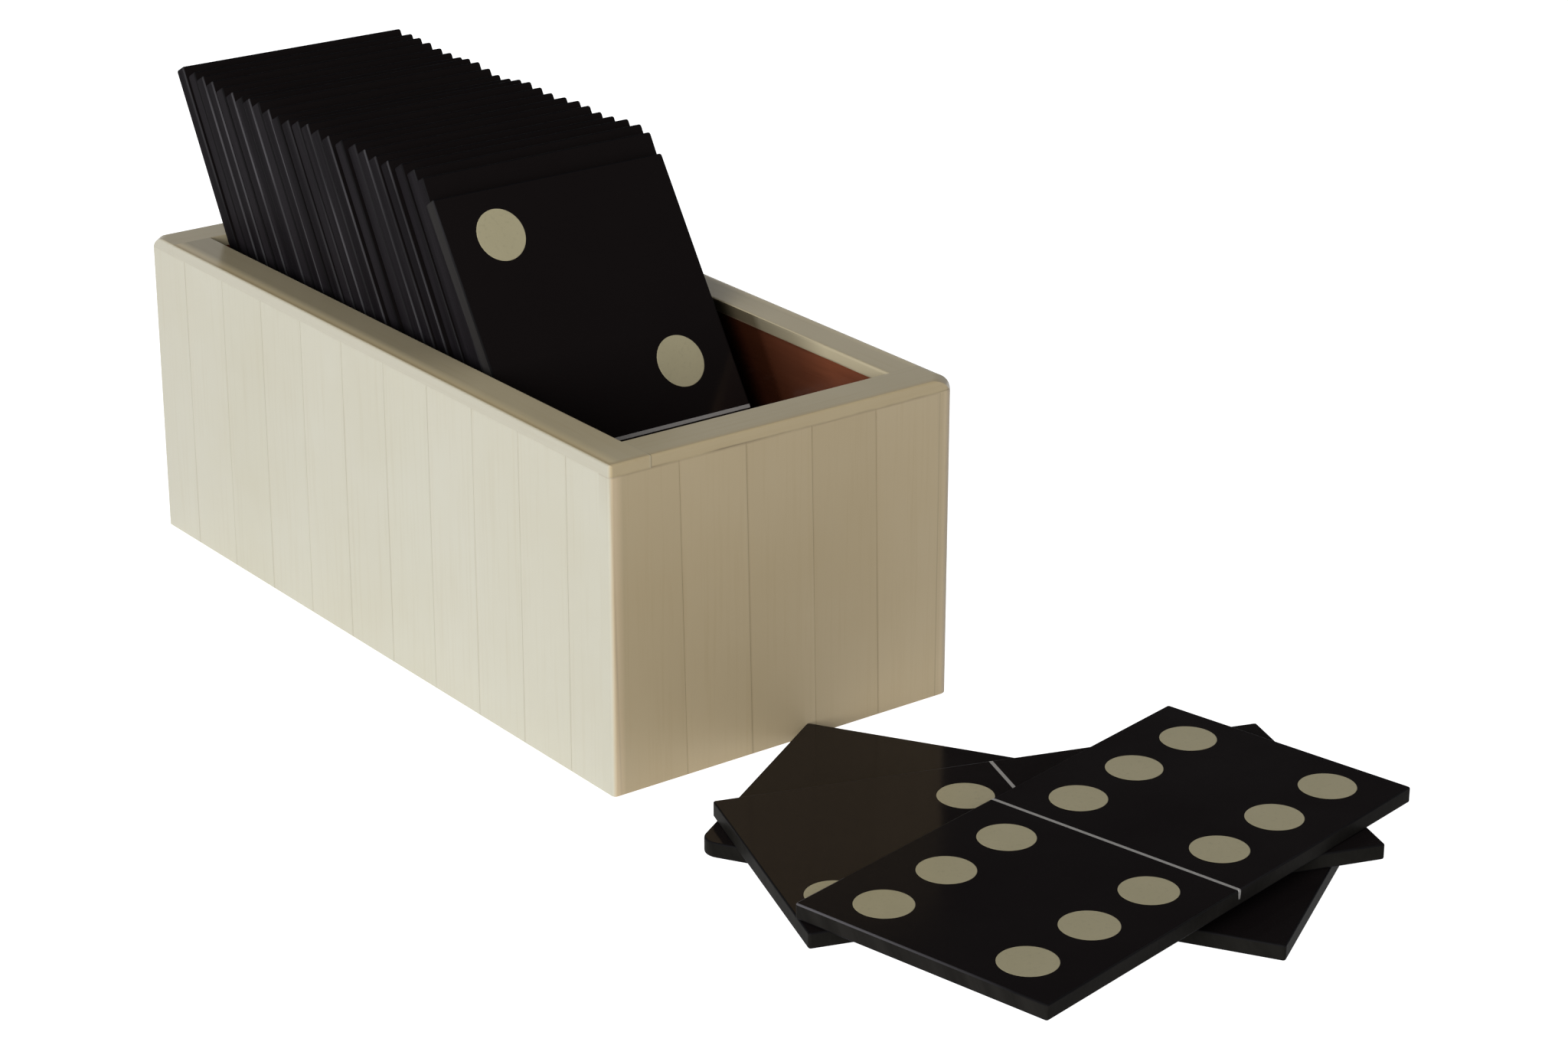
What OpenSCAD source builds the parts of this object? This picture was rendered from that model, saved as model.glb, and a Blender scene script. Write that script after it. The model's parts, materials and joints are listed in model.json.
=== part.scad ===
// Open storage box for a double-six set of dominoes, with its twenty-eight tiles.
// The box is wood, faced with upright bone slips and capped by a bone rim.
// Millimetres. The origin is the centre of the box's underside, +Z is up,
// X runs across the box, Y along it, and the tiles face the short side at -Y.

/* [Box] */
// Outside length of the box, along Y
box_l = 210; // [204:1:240]
// Outside width of the box, along X
box_w = 98.3; // [97:0.1:120]
// Outside height of the box
box_h = 81; // [74:1:90]
// Thickness of a wall with its bone facing
wall_t = 11.3; // [9.5:0.1:12]
// Radius of the upright corners at the left
corner_r = 1; // [0.5:0.1:3]
// Radius of the upright corners at the right, which are more worn
worn_corner_r = 2.5; // [0.5:0.1:3]
// Radius of the outer edge along the top of the rim, at the left and the front
edge_r = 0.5; // [0.3:0.1:2.6]
// Radius of the outer edge along the top of the rim, at the right and the rear
worn_edge_r = 2.6; // [0.5:0.1:2.6]
// Radius of the round across the two most worn upper corners, front right and rear left
worn_top_r = 4; // [2:0.5:5]
// Radius of the inner edge along the top of the rim
inner_r = 0.6; // [0.3:0.1:2]

/* [Bottom] */
// Thickness of the wooden bottom board
board_t = 2.6; // [2:0.1:5]
// Thickness of the baize under the bottom board
baize_t = 0.9; // [0.8:0.1:2]
// Depth of the rebates that house the bottom board and the short walls
rebate = 4.2; // [2:0.1:4.4]

/* [Bone facing] */
// Thickness of the upright bone slips
slip_t = 4.2; // [3.1:0.1:4.5]
// Width of a slip on the long sides; the last slip of every side is trimmed to fit
long_slip_w = 19.5; // [15:0.1:25]
// Width of the first slip of a long side
long_first_w = 17.2; // [10:0.1:25]
// Width of a slip on the short sides
short_slip_w = 18.65; // [15:0.05:25]
// Width of the first slip of a short side
short_first_w = 19.8; // [10:0.1:25]
// How far the glue lines of the short sides run out of upright, over the height of a slip
slant = 1.8; // [-2:0.1:2]
// Glue line between two slips
seam = 0.12; // [0.1:0.01:0.3]
// Thickness of the bone rim
rim_t = 3; // [2.6:0.1:4]

/* [Tiles] */
// Length of a tile
tile_l = 133; // [130:0.5:134]
// Width of a tile
tile_w = 66.5; // [65:0.5:67]
// Thickness of a tile
tile_t = 3.7; // [3.5:0.05:3.8]
// Bevel along the edges of a tile
arris = 0.35; // [0.2:0.05:0.5]
// Cut across the four corners of a tile, seen from above
corner_cut = 0.6; // [0.4:0.1:1.5]
// Diameter of a pip
pip_d = 13.2; // [11:0.1:14]
// Depth of a pip's pocket
pip_h = 1.2; // [0.8:0.1:1.6]
// Distance from a tile's middle line to the centre of each half's pips
pip_mid = 33.7; // [33:0.1:34]
// Distance between pip rows, along the tile
pip_step = 20.8; // [18:0.1:21]
// Distance of the outer pips from the tile's centre line, across the tile
pip_side = 19; // [17:0.5:20]
// How close the pips of the front tile are set, as a share of the usual distances
front_pip_share = 0.96; // [0.9:0.01:1]
// How much farther than usual they are from its middle line
front_pip_shift = 1.1; // [0:0.1:1.5]
// Width of the inlaid line across a tile's middle
line_w = 1.3; // [1:0.1:1.6]
// Depth of the inlaid line
line_h = 2.2; // [1.6:0.1:2.6]
// Width of the inlaid line at the bottom of its groove
line_foot = 0.5; // [0.3:0.1:0.9]

/* [Stack in the box] */
// Lean of the rearmost tile from upright, in degrees
lean_rear = 29.2; // [28.5:0.1:30]
// Lean of the last tile but one at the front, in degrees
lean_front = 30.6; // [30:0.1:31]
// Lean of the front tile, whose foot has slipped forward, in degrees
lean_last = 33.6; // [31.5:0.1:34]
// Average clearance between two tiles
gap = 0.83; // [0.8:0.01:0.9]
// Clearance between the rearmost tile and the rim that it leans on
rear_gap = 0.45; // [0.4:0.05:1.2]
// Clearance between the front tile and the tile that it leans on
lean_gap = 0.35; // [0.3:0.05:0.5]
// Average place of the stack across the box
stack_x = -1.1; // [-2:0.1:1]
// Place of the front tile across the box
last_x = -2.1; // [-3:0.1:3]
// Average height to which the tiles are hitched up along their lean
hitch = 0.9; // [0:0.05:2]
// Height to which the front tile is hitched up along its lean
last_hitch = 0.65; // [0:0.05:2]
// How uneven the row is; 0 is a straight row with equal clearances
unevenness = 1; // [0:0.1:1.2]

/* [Loose tiles] */
// Centre of the lowest loose tile
low_at = [12.4, -179.3]; // [-400:0.1:400]
// Turn of the lowest loose tile, in degrees
low_turn = -58.5; // [-180:0.1:180]
// Centre of the middle loose tile
mid_at = [11.5, -184.6]; // [-400:0.1:400]
// Turn of the middle loose tile, in degrees
mid_turn = 161.5; // [-180:0.1:180]
// Centre of the upper loose tile
top_at = [11.6, -206.7]; // [-400:0.1:400]
// Turn of the upper loose tile, in degrees
top_turn = 11.9; // [-180:0.1:180]

/* [Hidden] */
$fn = 64;
STAINED = "saddlebrown";
PLAIN = "sienna";
BAIZE = "darkolivegreen";
BONE = "ivory";
BLACK = [0.07, 0.06, 0.07];

// How far a cut runs past a surface, and how far a round stays clear of one it would graze
past = 1;
hair = 0.02;

// Heights of the floor inside the box and of the underside of the rim
floor_z = baize_t + board_t;
rim_z = box_h - rim_t;

// Half sizes of the box, of its wooden core and of the space inside
half_w = box_w / 2;
half_l = box_l / 2;
core_w = half_w - slip_t;
core_l = half_l - slip_t;
inner_w = half_w - wall_t;
inner_l = half_l - wall_t;

// The tiles whose faces show, as the pips on their lower and upper halves
TOP_TILE = [6, 6];
MID_TILE = [5, 2];
LOW_TILE = [0, 2];
FRONT_TILE = [3, 2];
SHOWN = [FRONT_TILE, LOW_TILE, MID_TILE, TOP_TILE];
function pair_name(p) = str(min(p), "_", max(p));
function is_shown(p) = len([for (s = SHOWN) if (pair_name(s) == pair_name(p)) s]) > 0;

// The loose tiles from the bottom up, with their places and turns
PILE = [[LOW_TILE, low_at, low_turn], [MID_TILE, mid_at, mid_turn], [TOP_TILE, top_at, top_turn]];

// The stack from the rear; steps of seven mix the high and the low values
REST = [for (a = [0:6]) for (b = [a:6]) if (!is_shown([a, b])) [a, b]];
STACK = concat([for (i = [0:len(REST) - 1]) REST[(i * 7 + 13) % len(REST)]], [FRONT_TILE]);
last = len(STACK) - 1;

// The row is uneven in slow and quick waves. A wave is its size in mm, and in degrees
// its turn from one tile to the next and its turn at the rear of the row.
SIDE_WAVES = [[0.8, 18, 48], [0.48, 82, 79], [0.48, 76, 302]];
HITCH_WAVES = [[0.61, 16, 187], [0.4, 76, 212], [0.36, 54, 53]];
GAP_WAVES = [[0.28, 137, 0]];
function total(list, k = 0) = k == len(list) ? 0 : list[k] + total(list, k + 1);
function swell(waves, i) = unevenness * total([for (w = waves) w[0] * sin(w[1] * i + w[2])]);

// How each tile of the stack stands: its lean, its place across, its height along the
// lean, and where the lower edge of its face would be if it stood on the floor
function lean(i) = i == last ? lean_last : lean_rear + (lean_front - lean_rear) * i / (last - 1);
function foot_x(i) = i == last ? last_x : stack_x + swell(SIDE_WAVES, i);
function hitched(i) = i == last ? last_hitch : max(0, hitch + swell(HITCH_WAVES, i));
function foot_z(i) = floor_z + (tile_t - arris) * sin(lean(i));
function foot_y(i) =
    i == 0 ? rear_foot_y()
    : i == last ? front_foot_y(foot_y(i - 1))
    : foot_y(i - 1) - (tile_t + gap + swell(GAP_WAVES, i)) / cos(lean(i));

// The rearmost tile leans on the round inner edge of the rear rim
function rear_foot_y() =
    inner_l + inner_r
    - (inner_r + rear_gap + tile_t + (box_h - inner_r - foot_z(0)) * sin(lean_rear))
      / cos(lean_rear);

// The front tile leans with its upper edge on the face of the tile behind it
function front_foot_y(behind_y) =
    behind_y
    - (lean_gap + tile_t * cos(lean_last - lean_front) + tile_l * sin(lean_last - lean_front)
       + (foot_z(last - 1) - foot_z(last)) * sin(lean_front))
      / cos(lean_front);

function tile_node(pair) = str("tile_", pair_name(pair));
function inlay_node(pair) = str("inlays_", pair_name(pair));

// A block between two opposite corners
module block(low, high) {
    translate(low) cube(high - low);
}

// ---- Walls and bottom ----

// The long wall at +X, rebated for the short walls and for the bottom
module long_wall() {
    difference() {
        block([inner_w, -core_l, 0], [core_w, core_l, rim_z]);
        block([inner_w - past, -core_l - past, -past],
              [inner_w + rebate, core_l + past, floor_z]);
        for (end = [0, 1]) mirror([0, end, 0])
            block([inner_w - past, inner_l, -past],
                  [inner_w + rebate, core_l + past, rim_z + past]);
    }
}

// The short wall at +Y; its ends stand in the rebates of the long walls
module short_wall() {
    difference() {
        block([-inner_w - rebate, inner_l, 0], [inner_w + rebate, core_l, rim_z]);
        block([-half_w, inner_l - past, -past], [half_w, inner_l + rebate, floor_z]);
    }
}

// A sheet that fills the rebates round the bottom
module bottom_sheet(from_z, to_z) {
    block([-inner_w - rebate, -inner_l - rebate, from_z],
          [inner_w + rebate, inner_l + rebate, to_z]);
}

module front_wall() { color(STAINED) mirror([0, 1, 0]) short_wall(); }
module rear_wall() { color(STAINED) short_wall(); }
module left_wall() { color(STAINED) mirror([1, 0, 0]) long_wall(); }
module right_wall() { color(STAINED) long_wall(); }
module bottom_board() { color(PLAIN) bottom_sheet(baize_t, floor_z); }
module baize() { color(BAIZE) bottom_sheet(0, baize_t); }

// ---- Outer form of the bone ----

// What a round corner takes off, measured from the centre of the round
module corner_waste(r) {
    difference() {
        square(r + past);
        circle(r);
    }
}

// The box from above
module box_plan() {
    difference() {
        square([box_w, box_l], center = true);
        for (mx = [0, 1]) for (my = [0, 1]) {
            r = mx == 0 ? worn_corner_r : corner_r;
            mirror([mx, 0]) mirror([0, my]) translate([half_w - r, half_l - r]) corner_waste(r);
        }
    }
}

// The box from one side, with its two upper corners round
module box_side(half) {
    difference() {
        translate([-half, 0]) square([2 * half, box_h]);
        for (mx = [0, 1]) {
            r = mx == 0 ? worn_edge_r : edge_r;
            mirror([mx, 0]) translate([half - r, box_h - r]) corner_waste(r);
        }
    }
}

// The opening from one side, wider over the round inner edges of the rim
module opening_side(half) {
    translate([-half, rim_z - past]) square([2 * half, rim_t + 2 * past]);
    for (mx = [0, 1]) mirror([mx, 0])
        translate([half + inner_r, box_h - inner_r]) mirror([1, 0]) corner_waste(inner_r);
}

// Stand an outline upright and draw it out along Y, or along X
module along_y(length) {
    translate([0, length / 2, 0]) rotate([90, 0, 0]) linear_extrude(length) children();
}
module along_x(length) {
    translate([-length / 2, 0, 0]) rotate([90, 0, 90]) linear_extrude(length) children();
}

// What a round drawn straight across an upper corner takes off
module across_corner(turn, upright_r) {
    reach = (half_w + half_l - 2 * upright_r) / sqrt(2) + upright_r + hair;
    aside = (half_w - half_l) / sqrt(2);
    rotate([0, 0, turn]) translate([reach - worn_top_r, aside, box_h - worn_top_r])
        along_y(6 * worn_top_r) corner_waste(worn_top_r);
}

module outer_form() {
    difference() {
        intersection() {
            linear_extrude(box_h) box_plan();
            along_y(box_l + 2 * past) box_side(half_w);
            along_x(box_w + 2 * past) box_side(half_l);
        }
        across_corner(-45, worn_corner_r);
        across_corner(135, corner_r);
    }
}

module opening() {
    intersection() {
        along_y(box_l) opening_side(inner_w);
        along_x(box_w) opening_side(inner_l);
    }
}

// ---- Slips and rim ----
// Slips and rim strips run round the box like the sails of a windmill: each side
// covers the end of its neighbour at one corner and is covered at the other.

// Slips set edge to edge along a run, outside a wall whose face is y = 0. The glue
// lines between them lean by half the given amount to each side of upright.
module slip_row(run, first_w, slip_w, leaning) {
    joins = concat([0], [for (x = [first_w:slip_w:run - past]) x], [run]);
    ends = len(joins) - 1;
    for (k = [1:ends]) {
        from = joins[k - 1] + (k == 1 ? 0 : seam / 2);
        to = joins[k] - (k == ends ? 0 : seam / 2);
        from_lean = k == 1 ? 0 : leaning / 2;
        to_lean = k == ends ? 0 : leaning / 2;
        rotate([90, 0, 0]) linear_extrude(slip_t)
            polygon([[from + from_lean, 0], [to + to_lean, 0],
                     [to - to_lean, rim_z], [from - from_lean, rim_z]]);
    }
}

// The slips of the side that looks along -Y once turned back by the given angle
module side_slips(turn, half_across, half_deep, first_w, slip_w, leaning) {
    intersection() {
        outer_form();
        rotate([0, 0, turn])
            translate([-half_across, slip_t - half_deep, 0])
                slip_row(2 * half_across - slip_t, first_w, slip_w, leaning);
    }
}
module short_side_slips(turn) {
    side_slips(turn, half_w, half_l, short_first_w, short_slip_w, slant);
}
module long_side_slips(turn) {
    side_slips(turn, half_l, half_w, long_first_w, long_slip_w, 0);
}

module rim_strip(low, high) {
    difference() {
        intersection() {
            outer_form();
            block([low.x, low.y, rim_z], [high.x, high.y, box_h + past]);
        }
        opening();
    }
}

module front_slips() { color(BONE) short_side_slips(0); }
module right_slips() { color(BONE) long_side_slips(90); }
module rear_slips() { color(BONE) short_side_slips(180); }
module left_slips() { color(BONE) long_side_slips(270); }
module front_rim() { color(BONE) rim_strip([-inner_w, -half_l], [half_w, -inner_l]); }
module right_rim() { color(BONE) rim_strip([inner_w, -inner_l], [half_w, half_l]); }
module rear_rim() { color(BONE) rim_strip([-half_w, inner_l], [inner_w, half_l]); }
module left_rim() { color(BONE) rim_strip([-half_w, -half_l], [-inner_w, inner_l]); }

// ---- Tiles ----
// A tile is drawn flat on z = 0, its length along X and its face upward.

// A rectangle with its four corners cut at 45 degrees
module cut_rectangle(size, cut) {
    intersection() {
        square(size, center = true);
        rotate(45) square((size.x + size.y - 2 * cut) / sqrt(2), center = true);
    }
}

// A tile before its pockets are cut, bevelled all round
module blank() {
    intersection() {
        linear_extrude(tile_t) cut_rectangle([tile_l, tile_w], corner_cut);
        translate([0, 0, tile_t / 2]) along_y(tile_w) cut_rectangle([tile_l, tile_t], arris);
        translate([0, 0, tile_t / 2]) along_x(tile_l) cut_rectangle([tile_w, tile_t], arris);
    }
}

// Places of a value's pips about the centre of the half that lies at +X
function pip_places(value) = [
    for (s = [-1, 1]) if (value > 1) [s * pip_step, s * pip_side],
    for (s = [-1, 1]) if (value > 3) [s * pip_step, -s * pip_side],
    for (s = [-1, 1]) if (value == 6) [0, s * pip_side],
    if (value % 2 == 1) [0, 0]
];

// The pips of a pair, or their pockets where bed makes them wider and deeper
module pips(pair, bed = 0) {
    share = pair == FRONT_TILE ? front_pip_share : 1;
    shift = pair == FRONT_TILE ? front_pip_shift : 0;
    for (half = [0, 1]) rotate([0, 0, half == 1 ? 0 : 180])
        for (at = share * pip_places(pair[half]))
            translate([pip_mid + shift + at.x, at.y, tile_t - pip_h - bed])
                cylinder(d = pip_d + 2 * bed, h = pip_h + bed);
}

// The line inlaid across the middle; its groove narrows over the lower half
module middle_line(bed = 0) {
    top = line_w / 2 + bed;
    foot = line_foot / 2 + bed;
    shoulder_z = tile_t - line_h / 2;
    foot_z = tile_t - line_h - bed;
    intersection() {
        blank();
        along_y(tile_w)
            polygon([[-top, tile_t], [-top, shoulder_z], [-foot, foot_z],
                     [foot, foot_z], [top, shoulder_z], [top, tile_t]]);
    }
}

module inlays(pair) {
    pips(pair);
    middle_line();
}

module slab(pair, bed = 0) {
    difference() {
        blank();
        pips(pair, bed);
        middle_line(bed);
    }
}

// Stand a tile in the stack, its face to the front
module stand(i) {
    translate([foot_x(i), foot_y(i), foot_z(i)])
        rotate([-lean(i), 0, 0]) rotate([0, 0, 90]) rotate([0, -90, 0])
            translate([hitched(i) + tile_l / 2, 0, -tile_t]) children();
}

// Lay a tile down on its layer of the pile
module lay(k) {
    at = PILE[k][1];
    translate([at.x, at.y, k * tile_t]) rotate([0, 0, PILE[k][2]]) children();
}

// Glue line round the inlays of a tile that is drawn in one piece with them
bed_line = 0.03;

module stack_tile(i) {
    color(BLACK) stand(i) slab(STACK[i], bed_line);
    color(BONE) stand(i) inlays(STACK[i]);
}

module front_tile() { color(BLACK) stand(last) slab(FRONT_TILE); }
module front_tile_inlays() { color(BONE) stand(last) inlays(FRONT_TILE); }
module pile_tile(k) { color(BLACK) lay(k) slab(PILE[k][0]); }
module pile_tile_inlays(k) { color(BONE) lay(k) inlays(PILE[k][0]); }

front_wall();
rear_wall();
left_wall();
right_wall();
bottom_board();
baize();
front_slips();
rear_slips();
left_slips();
right_slips();
front_rim();
rear_rim();
left_rim();
right_rim();
for (i = [0:last - 1])
    stack_tile(i);
front_tile();
front_tile_inlays();
for (k = [0:len(PILE) - 1]) {
    pile_tile(k);
    pile_tile_inlays(k);
}
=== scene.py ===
# %% [markdown]
# # A domino box of wood and bone
#
# The box is a wooden tray, faced with upright slips of bone and capped with a rim of bone strips.
# Twenty-five polished black tiles lean in it, and three more lie in front. The rigid parts come
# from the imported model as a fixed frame. This lesson gives each of them its finish, and models
# the tiles again with soft edges and real inlays.

# %% Start: the frame
import json
import math
import bmesh
import bpy
from mathutils import Matrix, Vector

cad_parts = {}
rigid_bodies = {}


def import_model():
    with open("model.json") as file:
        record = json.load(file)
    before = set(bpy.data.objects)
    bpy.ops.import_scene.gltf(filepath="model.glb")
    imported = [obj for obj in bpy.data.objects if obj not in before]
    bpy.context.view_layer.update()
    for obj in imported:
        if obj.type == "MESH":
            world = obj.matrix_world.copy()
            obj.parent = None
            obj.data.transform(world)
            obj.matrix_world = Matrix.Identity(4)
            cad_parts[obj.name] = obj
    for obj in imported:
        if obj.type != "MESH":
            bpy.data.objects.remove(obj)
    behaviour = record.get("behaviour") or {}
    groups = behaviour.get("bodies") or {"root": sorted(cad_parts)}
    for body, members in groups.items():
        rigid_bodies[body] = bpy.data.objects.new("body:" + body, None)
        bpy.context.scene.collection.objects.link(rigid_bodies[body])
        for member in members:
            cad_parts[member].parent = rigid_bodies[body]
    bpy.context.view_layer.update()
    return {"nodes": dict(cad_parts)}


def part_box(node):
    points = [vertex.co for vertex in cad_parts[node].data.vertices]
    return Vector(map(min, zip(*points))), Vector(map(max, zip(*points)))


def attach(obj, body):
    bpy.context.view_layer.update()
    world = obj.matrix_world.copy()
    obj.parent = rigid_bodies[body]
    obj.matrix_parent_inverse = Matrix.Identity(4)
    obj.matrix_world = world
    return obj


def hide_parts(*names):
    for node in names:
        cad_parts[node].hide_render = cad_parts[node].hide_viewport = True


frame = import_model()
nodes = frame["nodes"]

# %% [markdown]
# ## The camera
#
# A camera can be placed by hand, but a product view is easier to keep when it is given as an
# orbit: a point to look at, an angle round it, a height above the horizon and a distance. The
# turn about the vertical, the tip and a tiny roll are multiplied in that order.

# %% Camera on its orbit
AIM = Vector((0.05445, -0.0317, 0.0193))
AROUND, ABOVE, ROLL = math.radians(-37.05), math.radians(21.81), math.radians(0.15)
DISTANCE = 0.98008
LENS = 88.117

turn = Matrix.Rotation(AROUND, 4, "Z") @ Matrix.Rotation(math.pi / 2 - ABOVE, 4, "X")
turn = turn @ Matrix.Rotation(ROLL, 4, "Z")
camera = bpy.data.objects.new("camera", bpy.data.cameras.new("camera"))
camera.data.lens = LENS
camera.data.clip_start = 0.05
camera.matrix_world = Matrix.Translation(AIM) @ turn @ Matrix.Translation((0, 0, DISTANCE))
bpy.context.scene.collection.objects.link(camera)
bpy.context.scene.camera = camera
print("camera at", camera.matrix_world.translation[:])

# %% [markdown]
# ## Writing a finish in Python
#
# Shader nodes can be wired in the editor, but a script reads better when shader maths looks like
# maths. `Wire` wraps an output socket, so that `1 - mask * 0.3` adds the Math nodes that say it,
# and `x > 2` gives 1 where it is true. `Finish` makes a material, and its one method `node` adds
# any node: its settings are set first, and then its sockets get values or wires. The others are
# short ways to call it.

# %% Wires
class Wire:
    """An output socket that can stand in a Python expression."""

    def __init__(self, finish, made, output=0):
        self.finish = finish
        self.made = made
        self.socket = made.outputs[output] if made.outputs else None

    def __getitem__(self, output):
        return Wire(self.finish, self.made, output)

    def math(self, operation, *others, first=None):
        sides = [self, *others] if first is None else [first, self]
        return self.finish.node("Math", {"operation": operation}, dict(enumerate(sides)))

    def __add__(self, other):
        return self.math("ADD", other)

    def __radd__(self, other):
        return self.math("ADD", first=other)

    def __sub__(self, other):
        return self.math("SUBTRACT", other)

    def __rsub__(self, other):
        return self.math("SUBTRACT", first=other)

    def __mul__(self, other):
        return self.math("MULTIPLY", other)

    def __rmul__(self, other):
        return self.math("MULTIPLY", first=other)

    def __truediv__(self, other):
        return self.math("DIVIDE", other)

    def __rtruediv__(self, other):
        return self.math("DIVIDE", first=other)

    def __gt__(self, other):
        return self.math("GREATER_THAN", other)

    def __lt__(self, other):
        return self.math("LESS_THAN", other)

    def __abs__(self):
        return self.math("ABSOLUTE")

    def highest(self, other):
        return self.math("MAXIMUM", other)


print("wires can be added, multiplied and compared")

# %% Finishes
class Finish:
    """The nodes of a new material, or of the world, added one call at a time."""

    def __init__(self, name, holder=None):
        self.holder = holder or bpy.data.materials.new(name)
        self.holder.use_nodes = True
        self.tree = self.holder.node_tree
        self.tree.nodes.clear()

    def node(self, kind, settings=None, values=None, output=0):
        """Adds a node. A colour ramp's setting is named stops: pairs of a place and a colour."""
        made = self.tree.nodes.new("ShaderNode" + kind)
        for name, setting in (settings or {}).items():
            if name == "stops":
                for extra in setting[2:]:
                    made.color_ramp.elements.new(0.5)
                for element, (position, colour) in zip(made.color_ramp.elements, setting):
                    element.position = position
                    element.color = (*colour, 1)
            else:
                setattr(made, name, setting)
        for socket, value in (values or {}).items():
            if isinstance(value, Wire):
                self.tree.links.new(value.socket, made.inputs[socket])
            else:
                made.inputs[socket].default_value = value
        return Wire(self, made, output)

    def place(self, stretch=(1, 1, 1)):
        """Where a point is on the object, in metres, stretched for a pattern."""
        where = self.node("TexCoord", output="Object")
        return self.node("Mapping", values={"Vector": where, "Scale": stretch})

    def xyz(self):
        """The same place as three numbers."""
        apart = self.node("SeparateXYZ", values={0: self.place()})
        return apart["X"], apart["Y"], apart["Z"]

    def noise(self, scale, detail=2.0, roughness=0.5, seed=0.0, stretch=(1, 1, 1)):
        values = {"Vector": self.place(stretch), "W": seed, "Scale": scale, "Detail": detail,
                  "Roughness": roughness}
        return self.node("TexNoise", {"noise_dimensions": "4D"}, values)

    def between(self, low, high, wire):
        """0 below low, 1 above high, and a straight line from one to the other."""
        values = {"Value": wire, "From Min": low, "From Max": high}
        return self.node("MapRange", {"clamp": True}, values)

    def mix(self, factor, first, second, blend="MIX"):
        first, second = ((*c, 1) if isinstance(c, tuple) else c for c in (first, second))
        settings = {"data_type": "RGBA", "blend_type": blend}
        return self.node("Mix", settings, {0: factor, 6: first, 7: second}, output=2)

    def times(self, tint, other):
        return self.mix(1.0, tint, other, "MULTIPLY")

    def stained(self, factor, tint, stain):
        """The tint, multiplied by the stain as far as the factor says."""
        return self.mix(factor, tint, self.times(tint, stain))

    def bump(self, height, distance):
        return self.node("Bump", values={"Height": height, "Distance": distance})

    def surface(self, **sockets):
        """Ends the finish. Socket names are written with _ for a space."""
        values = {}
        for name, value in sockets.items():
            name = name.replace("_", " ").title().replace("Ior", "IOR")
            values[name] = (*value, 1) if isinstance(value, tuple) else value
        shader = self.node("BsdfPrincipled", values=values)
        self.node("OutputMaterial", values={"Surface": shader})
        return self.holder


print("finishes can be written")

# %% New pieces
def new_piece(name, bm, materials):
    mesh = bpy.data.meshes.new(name)
    bm.to_mesh(mesh)
    bm.free()
    for material in materials:
        mesh.materials.append(material)
    piece = bpy.data.objects.new(name, mesh)
    bpy.context.scene.collection.objects.link(piece)
    return piece


def dress(node, material):
    """Gives a part of the frame its one material."""
    nodes[node].data.materials.clear()
    nodes[node].data.materials.append(material)


print("pieces can be made and dressed")

# %% [markdown]
# ## Bone
#
# Bone is cut in narrow slips, each from another place, so each slip has its own tone, and a long
# fine grain runs up it. A flat picture of bone would stretch and repeat round the box. Here the
# slip's number is worked out from the place along the side, and a random value for that number
# picks the tone. The long sides are painted cream, as lit by the lamp, and the short ones tan, as
# in warmer shade, with a painted highlight where the corners round off. Near the joints old polish
# and dust darken the bone.

# %% Measures of the box
MM = 0.001
HALF_WIDTH, HALF_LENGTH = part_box("right_slips")[1].x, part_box("rear_slips")[1].y
HALF_IN_X, HALF_IN_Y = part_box("right_wall")[0].x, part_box("rear_wall")[0].y
RIM_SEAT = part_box("rear_rim")[0].z
SLIP_DEPTH = 4.2 * MM
LONG_SLIPS = (17.2 * MM, 19.5 * MM, 0.0)
SHORT_SLIPS = (19.8 * MM, 18.65 * MM, 1.8 * MM)
SIDES = {
    # side: axis that it runs along, start, direction, seed,
    #       and of its slips the first width, the width and the lean of the glue lines
    "front": ("X", -HALF_WIDTH, 1, 3.0, SHORT_SLIPS),
    "right": ("Y", -HALF_LENGTH, 1, 11.0, LONG_SLIPS),
    "rear": ("X", HALF_WIDTH, -1, 19.0, SHORT_SLIPS),
    "left": ("Y", HALF_LENGTH, -1, 27.0, LONG_SLIPS),
}
print("half outside", HALF_WIDTH, HALF_LENGTH, "half inside", HALF_IN_X, HALF_IN_Y, "seat", RIM_SEAT)

# %% Bone slips
# Three colours that slips are picked from, on the faces at the long and the short sides.
# The split is painted light: cream as lit at the long sides, tan as in shade at the short ones
CREAM_LIT = ((0.68, 0.662, 0.545), (0.665, 0.645, 0.53), (0.69, 0.668, 0.555))
TAN_SHADED = ((0.635, 0.515, 0.325), (0.605, 0.49, 0.305), (0.66, 0.54, 0.345))
# A painted highlight for the rounded corners, and the colour of real dust
CORNER_HIGHLIGHT, DUST = (0.84, 0.68, 0.46), (0.30, 0.22, 0.13)
CLOUD_STAIN, GRAIN_STAIN = (0.90, 0.86, 0.76), (0.82, 0.76, 0.64)


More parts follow.
